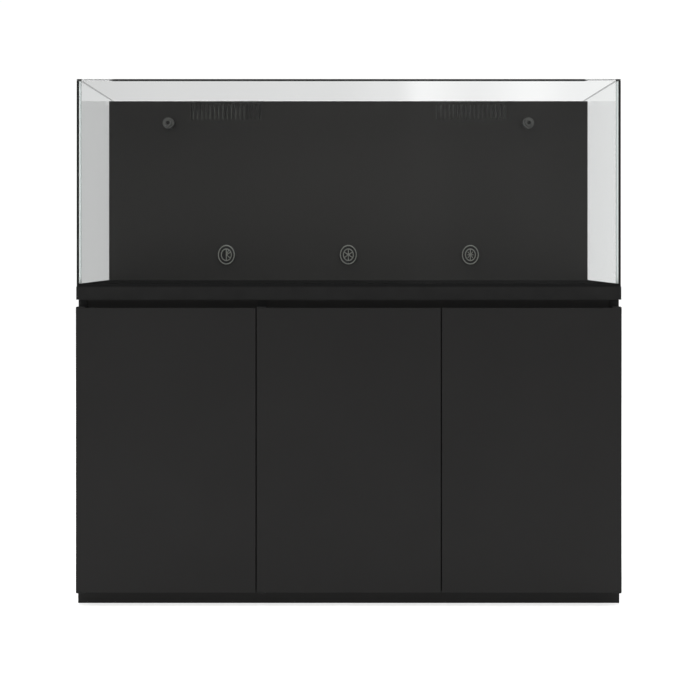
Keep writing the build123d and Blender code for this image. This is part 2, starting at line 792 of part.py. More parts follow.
def sump_walls():
    x0, x1 = SUMP_X
    y0, y1 = SUMP_Y
    low = SUMP_Z + SUMP_GLASS
    wall = SUMP_GLASS
    return [
        block(x0, x1, y0, y0 + wall, low, SUMP_TOP),
        block(x0, x1, y1 - wall, y1, low, SUMP_TOP),
        block(x0, x0 + wall, y0 + wall, y1 - wall, low, SUMP_TOP),
        block(x1 - wall, x1, y0 + wall, y1 - wall, low, SUMP_TOP),
    ]


def sump_baffles():
    y0, y1 = SUMP_Y
    low = SUMP_Z + SUMP_GLASS
    return [
        block(x, x + BAFFLE_T, y0 + SUMP_GLASS, y1 - SUMP_GLASS, low + start, low + end)
        for x, start, end in BAFFLES
    ]


def sump_mat():
    return block(*SUMP_X, *SUMP_Y, PLINTH_H + BOARD, SUMP_Z)


def sock_plate():
    x0 = SUMP_X[0] + SUMP_GLASS
    x1 = BAFFLES[0][0]
    y0, y1 = SUMP_Y
    low = SOCK_PLATE_Z
    high = SOCK_PLATE_Z + SOCK_PLATE_T
    plate = block(x0, x1, y0 + SUMP_GLASS, y1 - SUMP_GLASS, low, high)
    for x in SOCK_X:
        plate -= rod("z", (x, DRAIN_Y), SOCK_R, low - OVER, high + OVER)
    return plate - rod("z", (DRAIN_X[1], DRAIN_Y), PIPE_R + PIPE_HOLE_PLAY, low - OVER, high + OVER)


def filter_socks():
    socks = []
    top = SOCK_PLATE_Z + SOCK_PLATE_T
    outer = SOCK_R - SOCK_PLAY
    inner = outer - SOCK_WALL
    for x in SOCK_X:
        centre = (x, DRAIN_Y)
        rim = rod("z", centre, SOCK_R + SOCK_RIM, top, top + SOCK_RIM_T)
        sleeve = rod("z", centre, outer, top - SOCK_LENGTH, top)
        sleeve = fillet(sleeve.edges().sort_by(Axis.Z)[0], SOCK_FOOT_ROUND)
        hollow = rod("z", centre, inner, top - SOCK_LENGTH + SOCK_WALL, top + SOCK_RIM_T + OVER)
        hollow = fillet(hollow.edges().sort_by(Axis.Z)[0], SOCK_FOOT_ROUND - SOCK_WALL)
        socks.append(rim + sleeve - hollow)
    return socks


def return_pump():
    low = SUMP_Z + SUMP_GLASS
    half, base_y0, base_y1, base_t = PUMP_BASE
    foot_half, foot_y0, foot_y1, foot_top = PUMP_FOOT
    base = block(PUMP_X - half, PUMP_X + half, PUMP_Y + base_y0, PUMP_Y + base_y1, low, low + base_t)
    pump = soften(base, PUMP_BASE_CORNER)
    for radius, start, end in (PUMP_MOTOR, PUMP_VOLUTE, PUMP_INLET):
        pump += rod("y", (PUMP_X, low + PUMP_AXIS), radius, PUMP_Y + start, PUMP_Y + end)
    x0 = PUMP_X - foot_half
    x1 = PUMP_X + foot_half
    pump += block(x0, x1, PUMP_Y + foot_y0, PUMP_Y + foot_y1, low + base_t, low + foot_top)
    return pump + rod("z", (PUMP_X, PUMP_Y), PUMP_OUTLET_R, low + PUMP_AXIS, PUMP_TOP)


def write(name, shape):
    """Writes one node, keeping separate solids separate."""
    solids = []
    for item in shape if isinstance(shape, list) else [shape]:
        solids += item.solids()
    result = solids[0] if len(solids) == 1 else Compound(children=solids)
    result.label = name
    export_step(result, os.path.join("parts", name + ".step"))


def main():
    os.makedirs("parts", exist_ok=True)
    single = [
        front_glass, rear_glass, bottom_glass, silicone_seams, weir_panel, weir_dividers,
        base_trim, levelling_mat, top_board, groove_frame, top_rails, partition, door_posts,
        cabinet_floor, back_panel, plinth, hinge_brackets, catch_magnets, door_bumpers,
        return_flanges, panel_nuts, intake_flanges, intake_grilles, rear_film,
        bulkheads, bulkhead_gaskets, bulkhead_nuts, standpipes, strainer_caps, return_risers,
        drain_pipes, return_pipes, gate_valve, gate_valve_wheel, ball_valve, ball_valve_handle,
        sump_bottom, sump_walls, sump_baffles, sump_mat, sock_plate, filter_socks, return_pump,
    ]
    for make in single:
        write(make.__name__, make())
    for name in DOORS:
        write("door_" + name, door(name))
        write("hinge_leaves_" + name, hinge_leaves(name))
        write("strike_plate_" + name, strike_plate(name))
    for name, side in (("left", -1), ("right", 1)):
        write("side_glass_" + name, side_glass(side))
        write("side_panel_" + name, side_panel(side))
        write("jet_ring_" + name, jet_ring(side * JET_X))
        write("jet_" + name, jet(side * JET_X))


main()
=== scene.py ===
import math
import random

import bmesh
import bpy
from mathutils import Matrix, Vector

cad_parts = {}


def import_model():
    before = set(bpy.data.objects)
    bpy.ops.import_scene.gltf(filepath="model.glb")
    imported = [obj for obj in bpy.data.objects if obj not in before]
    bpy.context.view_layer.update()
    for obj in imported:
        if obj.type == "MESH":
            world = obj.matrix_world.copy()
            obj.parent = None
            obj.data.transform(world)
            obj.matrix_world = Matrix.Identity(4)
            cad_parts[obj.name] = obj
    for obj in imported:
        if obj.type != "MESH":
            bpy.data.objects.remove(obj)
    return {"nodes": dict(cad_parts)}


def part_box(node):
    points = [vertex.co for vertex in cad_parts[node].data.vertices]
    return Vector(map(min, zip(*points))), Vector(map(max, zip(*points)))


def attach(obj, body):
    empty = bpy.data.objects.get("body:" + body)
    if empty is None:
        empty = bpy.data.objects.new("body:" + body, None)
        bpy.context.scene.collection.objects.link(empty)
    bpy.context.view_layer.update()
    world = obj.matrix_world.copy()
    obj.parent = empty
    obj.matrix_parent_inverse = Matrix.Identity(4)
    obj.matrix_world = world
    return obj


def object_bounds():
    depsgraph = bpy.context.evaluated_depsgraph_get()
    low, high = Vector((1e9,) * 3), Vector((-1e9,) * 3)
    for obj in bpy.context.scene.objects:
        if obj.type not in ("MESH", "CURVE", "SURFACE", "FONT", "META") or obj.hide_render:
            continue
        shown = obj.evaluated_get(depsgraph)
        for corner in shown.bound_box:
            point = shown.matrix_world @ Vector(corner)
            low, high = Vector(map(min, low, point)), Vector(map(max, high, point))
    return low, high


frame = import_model()
cad_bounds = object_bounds()
nodes = frame["nodes"]
random.seed(7)

# ---------------------------------------------------------------- places from the frame
FRONT_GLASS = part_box("front_glass")
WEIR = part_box("weir_panel")
FLOOR_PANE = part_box("bottom_glass")
Y_GLASS = FRONT_GLASS[0][1]
GLASS_T = FRONT_GLASS[1][1] - FRONT_GLASS[0][1]
TOP_Z = cad_bounds[1][2]

# ---------------------------------------------------------------- camera and room
CAMERA_DISTANCE = 4.0
CAMERA_HEIGHT = 0.975
CAMERA_X = -0.010
LENS = 74.75
SHIFT = (0.007, -0.143)
SENSOR_W = 36
VIEW_END = 60

# What reflections see: a dim side in front, a bright one behind, with upright strips of
# (direction, brightness) that lean a little.
ROOM_FRONT = 0.2
ROOM_BACK = 1.0
ROOM_TURN = 0.5
ROOM_SPAN = 0.4
ROOM_LEAN = 0.01
ROOM_STRIPS = ((-0.38, 0.9), (-0.2, 0.69), (-0.1, 0.75), (-0.01, 0.785), (0.035, 0.85), (0.055, 1.0),
               (0.09, 0.93), (0.13, 1.02), (0.16, 0.95), (0.19, 0.97), (0.38, 0.76))
BACKDROP = 1.05
FLOOR_SIZE = 14
FLOOR_Y = 4
FLOOR_DROP = 0.0005
FLOOR_GLOW = 0.62

# Name, place, aim, size, power, and whether reflections show it.
LIGHTS = (
    ("key_left", (-3.2, -3.4, 3.4), (0, 0, 0.7), (2.2, 2.2), 55, True),
    ("fill_right", (3.4, -3.0, 2.6), (0, 0, 0.7), (2.4, 2.4), 35, True),
    ("top", (0, -0.2, 4.2), (0, 0, 0.8), (3.0, 2.0), 60, False),
    ("backdrop_floor", (0, 3.5, 4.0), (0, 2.0, 0.0), (5.0, 3.0), 120, False),
)

# ---------------------------------------------------------------- looks that change with place
# RIM_SHADE_BAND is painted shade along the front glass's top rim, and PANEL_PAINTED_LIGHT the weir
# panel's painted light and shade. EDGE_GREY is the bottom pane's edge, and PANE_END_X is where the side
# panes' ground ends turn pale.
BLEND = 0.0003
RIM_H = 0.0042
RIM_SHADE_BAND = (0.0059, 0.650, 0.065)
BAND_FEATHER = 0.004
# EDGE_SHADE_X is where the doors' painted shade along the cabinet's outer edges starts.
EDGE_SHADE_X = 0.7445
EDGE_GREY = 0.0125
EDGE_SINK = 0.0001
PANEL_PAINTED_LIGHT = (0.88, 1.36, 0.7, 1.9, 0.68)
FADE_FROM = 0.1
PANE_END_X = (0.7405, 0.7410)

# ---------------------------------------------------------------- sizes of the small pieces
SHARP = math.radians(38)

# Intake guards: beads are (radius, thickness), spokes are (degrees, width, start, end), with start
# and end as shares of the inner bead's radius.
GUARD_R = 0.030
OVAL = 0.86
# The ribs' pale grey is painted highlight on the guards' glossy black rims.
RIB_HIGHLIGHT_GREY = (0.31, 0.31, 0.28)
GUARD_BEADS = ((0.0283, 0.0018), (0.0178, 0.0018))
GUARD_SPOKES = {
    "left": ((90, 0.0034, -0.95, 0.95), (28, 0.0026, 0.1, 0.95),
             (-35, 0.0026, 0.1, 0.9), (60, 0.0024, 0.3, 0.95)),
    "middle": tuple((60 * k + 30, 0.0030, 0.2, 0.95) for k in range(6)),
    "right": ((90, 0.0034, -0.95, 0.95), (0, 0.0026, -0.6, 0.6),
              (45, 0.0024, -0.75, 0.75), (-45, 0.0024, -0.75, 0.75)),
}
SPOKE_T = 0.0022
SPOKE_SOFT = 0.0005
GUARD_HUB = ((0.0048, 0), (0.0048, 0.0022), (0.0040, 0.0028))
HUB_SUNK = 0.0004

# The side panes' ground ends
JOINT_W = 0.005
END_GAP = 0.0002
END_T = 0.0006
END_BACK = 0.0005
END_SOFT = 0.0001

# The weir panel's edging, combs, and painted highlights on the left comb's slot edges
EDGING_W = 0.0035
EDGING_T = 0.0006
EDGING_PROUD = 0.0007
EDGING_SOFT = 0.0002
# The comb nets' greys are painted light: raised against the shade in the deep slots, and set apart for
# the two combs by how light falls on them.
SCREEN_PAINTED_GREY = {"left": 0.13, "right": 0.3}
SCREEN_T = 0.001
SCREEN_BEHIND = 0.0012
SCREEN_OVER = 0.012
COMB_SLOTS = 17
COMB_PITCH = 0.013
COMB_X = 0.376
COMB_SLOT_W = 0.005
COMB_LOW = 1.377
COMB_HIGH = 1.423
GLINT_COUNT = 13
GLINT_FEW = 4
GLINT_SHORT = 0.45
GLINT_TALL = 0.75
GLINT_SPREAD = 0.22
GLINT_W = 0.0014
GLINT_T = 0.0004
GLINT_GAP = 0.0008
GLINT_OUT = 0.0002

# Cable openings, screws and shelf pins
OPENING_X = (-0.5, 0.0, 0.5)
OPENING_HALF = 0.09
OPENING_Z = (0.5, 0.58)
OPENING_CORNER = 0.03
OPENING_BEAD = 0.0022
BEAD_PROUD = 0.0006
BACK_SCREW_X = (-0.7203, -0.4, -0.2535, 0.0, 0.2535, 0.4, 0.7203)
BACK_SCREW_Z = (0.1, 0.26, 0.42, 0.66, 0.79)
ENDS_ONLY_X = (0.0, 0.4)
LEAF_SCREW_IN = (0.024, 0.040)
LEAF_SCREW_R = 0.0028
LEAF_SCREW_SUNK = 0.0002
PIN_Y = (-0.2, 0.2)
PIN_Z = tuple(0.2 + 0.032 * k for k in range(13))
SLEEVE = ((0.0038, 0), (0.0038, 0.0003), (0.0026, 0.0003), (0.0024, -0.003))

# Pipe fittings: each union is ((x, y), bore radius, distance from its valve's middle).
UNIONS = (((-0.44, 0.13), 0.0163, 0.05), ((0.1, 0.02), 0.0128, 0.046))
VALVE_Z = 0.54
COLLAR_T = 0.0042
COLLAR_GRIPS = 12
GRIP_SIZE = (0.0014, 0.002, 0.005)
GRIP_UP = 0.0055
GRIP_SOFT = 0.0003
MANIFOLD = (0.2466, 0.64)
CLIP_X = (-0.4, -0.12, 0.2, 0.42)
CLIP_RING = ((0.0127, -0.006), (0.0158, -0.006), (0.0158, 0.006), (0.0127, 0.006))
CLIP_REACH = 0.0150
CLIP_FOOT = (0.014, 0.018)
CLIP_SOFT = 0.001

# Return jets, pump and filter socks
THROAT_R = 0.0055
THROAT_T = 0.0008
THROAT_IN = 0.0015
PUMP_AXIS = (0.1, 0.129)
FINS = 7
FIN_Y = 0.028
FIN_PITCH = 0.009
FIN = ((0.0455, -0.001), (0.0474, -0.0008), (0.0474, 0.0008), (0.0455, 0.001))
CAGE_BARS = 10
CAGE_Y = -0.037
CAGE_R = 0.0165
CAGE_BAR = (0.0016, 0.022, 0.0026)
CAGE_SOFT = 0.0004
SOCK_AT = ((-0.6, 0.13), (-0.44, 0.13))
SOCK_TOP = 0.36
HOOPS_DOWN = (0.022, 0.034)
HOOP_R = 0.0493
HOOP_T = 0.0012
SEAM_SIZE = (0.007, 0.0012, 0.15)
SEAM_R = 0.0492
SEAM_DOWN = 0.105
SEAM_SOFT = 0.0003
SOCK_RIM_R = 0.0575
SOCK_RIM_T = 0.0016
SOCK_RIM_UP = 0.0002
TAB_SIZE = (0.004, 0.016, 0.0035)
TAB_UP = 0.0016
TAB_SOFT = 0.0006


# ---------------------------------------------------------------- node helpers
class Nodes:
    """A material's node tree with short calls for adding and joining nodes."""

    def __init__(self, name):
        self.material = bpy.data.materials.new(name)
        self.material.use_nodes = True
        self.tree = self.material.node_tree
        self.tree.nodes.clear()
        self.out = self.add("ShaderNodeOutputMaterial")
        self.coords = None

    def add(self, kind, **settings):
        node = self.tree.nodes.new(kind)
        for key, value in settings.items():
            setattr(node, key, value)
        return node

    def join(self, source, target):
        self.tree.links.new(source, target)

    def position(self):
        """Object coordinates, in metres, which are the row frame's at rest."""
        if self.coords is None:
            self.coords = self.add("ShaderNodeTexCoord").outputs["Object"]
        return self.coords

    def part(self, axis):
        """One coordinate of the position, in metres."""
        split = self.add("ShaderNodeSeparateXYZ")
        self.join(self.position(), split.inputs[0])
        return split.outputs[axis]

    def off_centre(self):
        """The distance from the object's middle plane, in metres."""
        return self.math("ABSOLUTE", self.part("X"), 0.0)

    def scaled(self, x, y, z):
        mapping = self.add("ShaderNodeMapping")
        mapping.inputs["Scale"].default_value = (x, y, z)
        self.join(self.position(), mapping.inputs["Vector"])
        return mapping.outputs["Vector"]

    def noise(self, scale, detail=3.0, rough=0.5, vector=None):
        node = self.add("ShaderNodeTexNoise")
        node.inputs["Scale"].default_value = scale
        node.inputs["Detail"].default_value = detail
        node.inputs["Roughness"].default_value = rough
        self.join(vector or self.position(), node.inputs["Vector"])
        return node.outputs["Fac"]

    def spread(self, value, low, high, from_low=0.3, from_high=0.7):
        node = self.add("ShaderNodeMapRange")
        node.inputs["From Min"].default_value = from_low
        node.inputs["From Max"].default_value = from_high
        node.inputs["To Min"].default_value = low
        node.inputs["To Max"].default_value = high
        self.join(value, node.inputs["Value"])
        return node.outputs["Result"]

    def math(self, operation, first, second):
        node = self.add("ShaderNodeMath", operation=operation)
        for socket, value in zip(node.inputs, (first, second)):
            if isinstance(value, (int, float)):
                socket.default_value = value
            else:
                self.join(value, socket)
        return node.outputs[0]

    def mix(self, factor, first, second):
        node = self.add("ShaderNodeMix", data_type="RGBA")
        if isinstance(factor, (int, float)):
            node.inputs["Factor"].default_value = factor
        else:
            self.join(factor, node.inputs["Factor"])
        for socket, value in ((node.inputs["A"], first), (node.inputs["B"], second)):
            if isinstance(value, tuple):
                socket.default_value = (*value, 1)
            else:
                self.join(value, socket)
        return node.outputs["Result"]

    def bump(self, height, strength, distance):
        node = self.add("ShaderNodeBump")
        node.inputs["Strength"].default_value = strength
        node.inputs["Distance"].default_value = distance
        self.join(height, node.inputs["Height"])
        return node.outputs["Normal"]

    def edge_mask(self, radius):
        """0 on flat faces and up to 1 within radius of a sharp edge."""
        bevel = self.add("ShaderNodeBevel", samples=4)
        bevel.inputs["Radius"].default_value = radius
        plain = self.add("ShaderNodeNewGeometry")
        dot = self.add("ShaderNodeVectorMath", operation="DOT_PRODUCT")
        self.join(bevel.outputs["Normal"], dot.inputs[0])
        self.join(plain.outputs["Normal"], dot.inputs[1])
        return self.spread(dot.outputs["Value"], 1.0, 0.0, 0.75, 0.99)

    def shader(self, **constants):
        node = self.add("ShaderNodeBsdfPrincipled")
        for key, value in constants.items():
            socket = node.inputs[key.replace("_", " ")]
            socket.default_value = (*value, 1) if isinstance(value, tuple) else value
        self.join(node.outputs[0], self.out.inputs["Surface"])
        return node


def tone(grey, warm=0.0):
    """A near-neutral linear colour, a little warmer or cooler than grey."""
    return (grey * (1 + warm), grey, grey * (1 - warm))


# ---------------------------------------------------------------- materials
def board_material(name, grey, rough=0.5, warm=0.03, wear=0.3, gloss=0.42, painted_edge=None):
    """Matt melamine laminate with fine emboss and cloudy sheen; edges wear by wear, and painted_edge is
    how far from the middle a darker strip of painted shade starts, for the shade at the cabinet's outer
    edges."""
    m = Nodes(name)
    cloud = m.noise(3.5, 4, 0.55)
    speck = m.noise(900, 2, 0.6)
    patches = m.spread(m.noise(45, 4, 0.7), 0.2, 1.0, 0.42, 0.62)
    worn = m.math("MULTIPLY", m.edge_mask(0.0012), patches)
    base = m.mix(m.spread(cloud, 0, 1), tone(grey * 0.95, warm), tone(grey * 1.06, warm))
    fine = m.mix(m.spread(speck, 0, 0.35, 0.45, 0.75), base, tone(grey * 1.5, warm))
    colour = m.mix(m.math("MULTIPLY", worn, wear), fine, tone(grey * 2.2, warm))
    # Painted shade: a darker strip along the outer edges.
    if painted_edge:
        edge = m.spread(m.off_centre(), 0.0, 1.0, painted_edge, painted_edge + BLEND)
        colour = m.mix(edge, colour, tone(grey * 0.1, warm))
    node = m.shader(Specular_IOR_Level=gloss)
    m.join(colour, node.inputs["Base Color"])
    m.join(m.spread(m.noise(11, 5, 0.6), rough - 0.025, rough + 0.03), node.inputs["Roughness"])
    emboss = m.math("ADD", m.noise(1400, 2, 0.5), m.math("MULTIPLY", m.noise(260, 3, 0.6), 0.5))
    m.join(m.bump(emboss, 0.25, 0.00008), node.inputs["Normal"])
    return m.material


def moulded_material(name, colour, rough=0.4, grain=700, depth=0.00006, gloss=0.5):
    """Injection-moulded plastic: fine spark texture and uneven gloss."""
    m = Nodes(name)
    shade = m.spread(m.noise(30, 4, 0.6), 0, 1)
    darker = tuple(c * 0.88 for c in colour)
    paler = tuple(min(1.0, c * 1.15 + 0.002) for c in colour)
    worn = m.math("MULTIPLY", m.edge_mask(0.0006), 0.35)
    edge = tuple(min(1.0, c * 1.6 + 0.01) for c in colour)
    tint = m.mix(worn, m.mix(shade, darker, paler), edge)
    node = m.shader(Specular_IOR_Level=gloss)
    m.join(tint, node.inputs["Base Color"])
    m.join(m.spread(m.noise(60, 4, 0.6), rough - 0.08, rough + 0.1), node.inputs["Roughness"])
    m.join(m.bump(m.noise(grain, 2, 0.5), 0.3, depth), node.inputs["Normal"])
    return m.material


def glass_material(name, tint, ior=1.5, rim_shade=1.0, rim_shade_band=None):
    """Clear float glass whose top rim is darkened by rim_shade, painted shade for the dark line its
    rounded edge
    mirrors. Rim_shade_band is (depth, half width, tint): a stretch of the rim with its own painted
    shade. Lamps and bounced light pass straight through."""
    m = Nodes(name)
    node = m.shader(IOR=ior, Transmission_Weight=1.0, Roughness=0.0)
    # Painted shade: the top rim is darker by rim_shade, and the band's stretch darker again.
    top = m.spread(m.part("Z"), 0.0, 1.0, TOP_Z - RIM_H - BLEND, TOP_Z - RIM_H)
    colour = m.mix(top, tint, tuple(c * rim_shade for c in tint))
    if rim_shade_band:
        depth, half, level = rim_shade_band
        high = m.spread(m.part("Z"), 0.0, 1.0, TOP_Z - depth - BLEND, TOP_Z - depth)
        within = m.spread(m.off_centre(), 1.0, 0.0, half, half + BAND_FEATHER)
        colour = m.mix(m.math("MULTIPLY", high, within), colour, tuple(c * level for c in tint))
    m.join(colour, node.inputs["Base Color"])
    wave = m.bump(m.noise(2.2, 1, 0.4), 0.02, 0.00003)
    m.join(wave, node.inputs["Normal"])
    clear = m.add("ShaderNodeBsdfTransparent")
    clear.inputs["Color"].default_value = (0.93, 0.95, 0.945, 1)
    path = m.add("ShaderNodeLightPath")
    lamps = m.math("MAXIMUM", path.outputs["Is Shadow Ray"], path.outputs["Is Diffuse Ray"])
    mixer = m.add("ShaderNodeMixShader")
    m.join(lamps, mixer.inputs["Fac"])
    m.join(node.outputs[0], mixer.inputs[1])
    m.join(clear.outputs[0], mixer.inputs[2])
    m.join(mixer.outputs[0], m.out.inputs["Surface"])
    return m.material


def sheet_material(name, grey, rough, coat, gloss=0.3, painted_light=None, warm=0.0, edge=None):
    """Film, acrylic or back-painted glass: deep black, with dust.

    Edge is (grey, height): the grey below that height. Painted_light is (low, high, across, lighter,
    darker),
    painted light and shade: lighter times as pale at low as at high, and down to darker times as pale
    at across from the middle.
    """
    m = Nodes(name)
    dust = m.spread(m.noise(420, 3, 0.7), 0, 1, 0.62, 0.8)
    haze = m.spread(m.noise(2.0, 4, 0.5), 0, 1)
    base = m.mix(haze, tone(grey * 0.96, warm), tone(grey * 1.04, warm))
    if edge:
        level, height = edge
        below = m.spread(m.part("Z"), 1.0, 0.0, height - 2 * EDGE_SINK, height - EDGE_SINK)
        base = m.mix(below, base, tone(level))
    # Painted light and shade: paler towards the foot, darker towards the sides, for how light falls on
    # the panel.
    if painted_light:
        low, high, across, lighter, darker = painted_light
        foot = m.spread(m.part("Z"), 1.0, 0.0, low, high)
        base = m.mix(foot, base, tone(grey * lighter, warm))
        side = m.spread(m.off_centre(), 0.0, 1.0, FADE_FROM, across)
        base = m.mix(m.math("MULTIPLY", side, 1 - darker), base, tone(0.0))
    node = m.shader(Coat_Weight=coat, Coat_Roughness=0.06, Specular_IOR_Level=gloss)
    m.join(m.mix(m.math("MULTIPLY", dust, 0.15), base, tone(grey * 3)), node.inputs["Base Color"])
    m.join(m.spread(m.noise(9, 5, 0.6), rough - 0.05, rough + 0.06), node.inputs["Roughness"])
    m.join(m.bump(m.noise(1.6, 1, 0.3), 0.02, 0.0004), node.inputs["Normal"])
    return m.material


def rubber_material(name, grey, rough=0.7, pores=500):
    """Dull rubber, silicone or tape, with fine pores."""
    m = Nodes(name)
    node = m.shader(Specular_IOR_Level=0.35)
    cloud = m.spread(m.noise(50, 4, 0.6), 0, 1)
    m.join(m.mix(cloud, tone(grey * 0.8), tone(grey * 1.3)), node.inputs["Base Color"])
    m.join(m.spread(m.noise(80, 3, 0.6), rough - 0.08, rough + 0.08), node.inputs["Roughness"])
    m.join(m.bump(m.noise(pores, 3, 0.6), 0.4, 0.00015), node.inputs["Normal"])
    return m.material


def steel_material(name, grey=0.03, metallic=0.6):
    """Steel with a brushed grain along X and bare edges."""
    m = Nodes(name)
    grain = m.noise(900, 3, 0.6, m.scaled(0.06, 1, 1))
    worn = m.math("MULTIPLY", m.edge_mask(0.0005), 0.6)
    node = m.shader(Metallic=metallic)
    base = m.mix(m.spread(grain, 0, 1), tone(grey * 0.8), tone(grey * 1.3))
    m.join(m.mix(worn, base, tone(min(0.8, grey * 4))), node.inputs["Base Color"])
    m.join(m.spread(m.noise(70, 4, 0.6), 0.3, 0.48), node.inputs["Roughness"])
    m.join(m.bump(grain, 0.2, 0.00004), node.inputs["Normal"])
    return m.material


def felt_material(name):
    """Pale needled felt with upright fibres."""
    m = Nodes(name)
    fibre = m.noise(650, 5, 0.75, m.scaled(1, 1, 0.35))
    node = m.shader(Sheen_Weight=0.3, Sheen_Roughness=0.6, Specular_IOR_Level=0.15)
    colour = m.mix(m.spread(fibre, 0, 1), (0.62, 0.61, 0.57), (0.84, 0.83, 0.8))
    m.join(colour, node.inputs["Base Color"])
    m.join(m.spread(fibre, 0.85, 0.98), node.inputs["Roughness"])
    m.join(m.bump(fibre, 0.7, 0.0006), node.inputs["Normal"])
    return m.material


def give(material, *names):
    """Puts one material on the named CAD nodes."""
    for name in names:
        slots = nodes[name].data.materials
        slots.clear()
        slots.append(material)


def dress_nodes():
    give(glass_material("clear_glass", (0.975, 0.985, 0.982), rim_shade=0.3, rim_shade_band=RIM_SHADE_BAND), "front_glass")
    give(glass_material("rear_clear_glass", (0.975, 0.985, 0.982), rim_shade=0.6), "rear_glass")
    give(glass_material("side_glass", (0.985, 0.99, 0.99), ior=1.052, rim_shade=0.35),
         "side_glass_left", "side_glass_right")
    give(glass_material("sump_glass", (0.93, 0.98, 0.965)), "sump_walls", "sump_baffles")
    give(sheet_material("vinyl_film", 0.006, 0.55, 0.0), "rear_film")
    # Painted shade: the bottom pane's top face gets a far darker grey than its edges, against the light
    # from above.
    give(sheet_material("black_glass", 0.0005, 0.6, 0.0, 0.0, edge=(EDGE_GREY, FLOOR_PANE[1][2])),
         "bottom_glass")
    give(sheet_material("sump_base", 0.012, 0.4, 0.1), "sump_bottom")
    give(rubber_material("black_silicone", 0.006, 0.35, 60), "silicone_seams")
    give(sheet_material("black_acrylic", 0.0195, 0.5, 0.0, 0.1, PANEL_PAINTED_LIGHT, 0.06),
         "weir_panel", "weir_dividers")
    give(board_material("charcoal_board", 0.0125, wear=0.0, gloss=0.17, painted_edge=EDGE_SHADE_X),
         "door_left", "door_middle", "door_right")
    give(board_material("carcass_board", 0.015, gloss=0.2),
         "side_panel_left", "side_panel_right", "top_board", "cabinet_floor", "partition",
         "door_posts", "top_rails")
    give(board_material("back_board", 0.03, 0.6), "back_panel")
    give(board_material("groove_black", 0.026, 0.7, gloss=0.15), "groove_frame")
    give(board_material("plinth_black", 0.0095, 0.55, gloss=0.17), "plinth")
    give(moulded_material("trim_black", (0.0068, 0.0068, 0.0066), 0.55, gloss=0.2), "base_trim")
    give(rubber_material("foam_rubber", 0.018, 0.85, 900), "levelling_mat", "sump_mat")
    give(rubber_material("soft_rubber", 0.02, 0.6), "bulkhead_gaskets", "door_bumpers")
    give(moulded_material("hinge_paint", (0.012, 0.012, 0.012), 0.6, gloss=0.2), "hinge_brackets")
    give(steel_material("oxide_steel"),
         "hinge_leaves_left", "hinge_leaves_middle", "hinge_leaves_right",
         "strike_plate_left", "strike_plate_middle", "strike_plate_right")
    give(moulded_material("jet_plastic", (0.06, 0.06, 0.056), 0.45),
         "jet_ring_left", "jet_ring_right", "jet_left", "jet_right")
    give(moulded_material("guard_plastic", (0.012, 0.012, 0.012), 0.5, gloss=0.2),
         "return_flanges", "intake_flanges", "intake_grilles")
    give(moulded_material("black_plastic", (0.016, 0.016, 0.017), 0.38),
         "panel_nuts", "strainer_caps", "catch_magnets", "return_pump", "sock_plate",
         "gate_valve", "ball_valve")
    give(moulded_material("grey_pipe", (0.09, 0.095, 0.1), 0.36, 300),
         "bulkheads", "bulkhead_nuts", "standpipes", "return_risers", "drain_pipes", "return_pipes")
    give(moulded_material("red_plastic", (0.4, 0.02, 0.015), 0.35),
         "gate_valve_wheel", "ball_valve_handle")
    give(felt_material("needled_felt"), "filter_socks")


# ---------------------------------------------------------------- studio
def camera():
    data = bpy.data.cameras.new("camera")
    data.lens = LENS
    data.sensor_width = SENSOR_W
    data.shift_x, data.shift_y = SHIFT
    data.clip_end = VIEW_END
    obj = bpy.data.objects.new("camera", data)
    obj.location = (CAMERA_X, Y_GLASS - CAMERA_DISTANCE, CAMERA_HEIGHT)
    obj.rotation_euler = (math.radians(90), 0, 0)
    bpy.context.scene.collection.objects.link(obj)
    bpy.context.scene.camera = obj


def area_light(name, place, aim, size, power, mirrored):
    data = bpy.data.lights.new(name, "AREA")
    data.shape = "RECTANGLE"
    data.size, data.size_y = size
    data.energy = power
    obj = bpy.data.objects.new(name, data)
    obj.location = place
    direction = Vector(aim) - Vector(place)
    obj.rotation_euler = direction.to_track_quat("-Z", "Y").to_euler()
    obj.visible_glossy = mirrored
    bpy.context.scene.collection.objects.link(obj)


def map_range(tree, value, low, high, to_low, to_high):
    node = tree.nodes.new("ShaderNodeMapRange")
    ends = {"From Min": low, "From Max": high, "To Min": to_low, "To Max": to_high}
    for name, number in ends.items():
        node.inputs[name].default_value = number
    tree.links.new(value, node.inputs["Value"])
    return node.outputs["Result"]


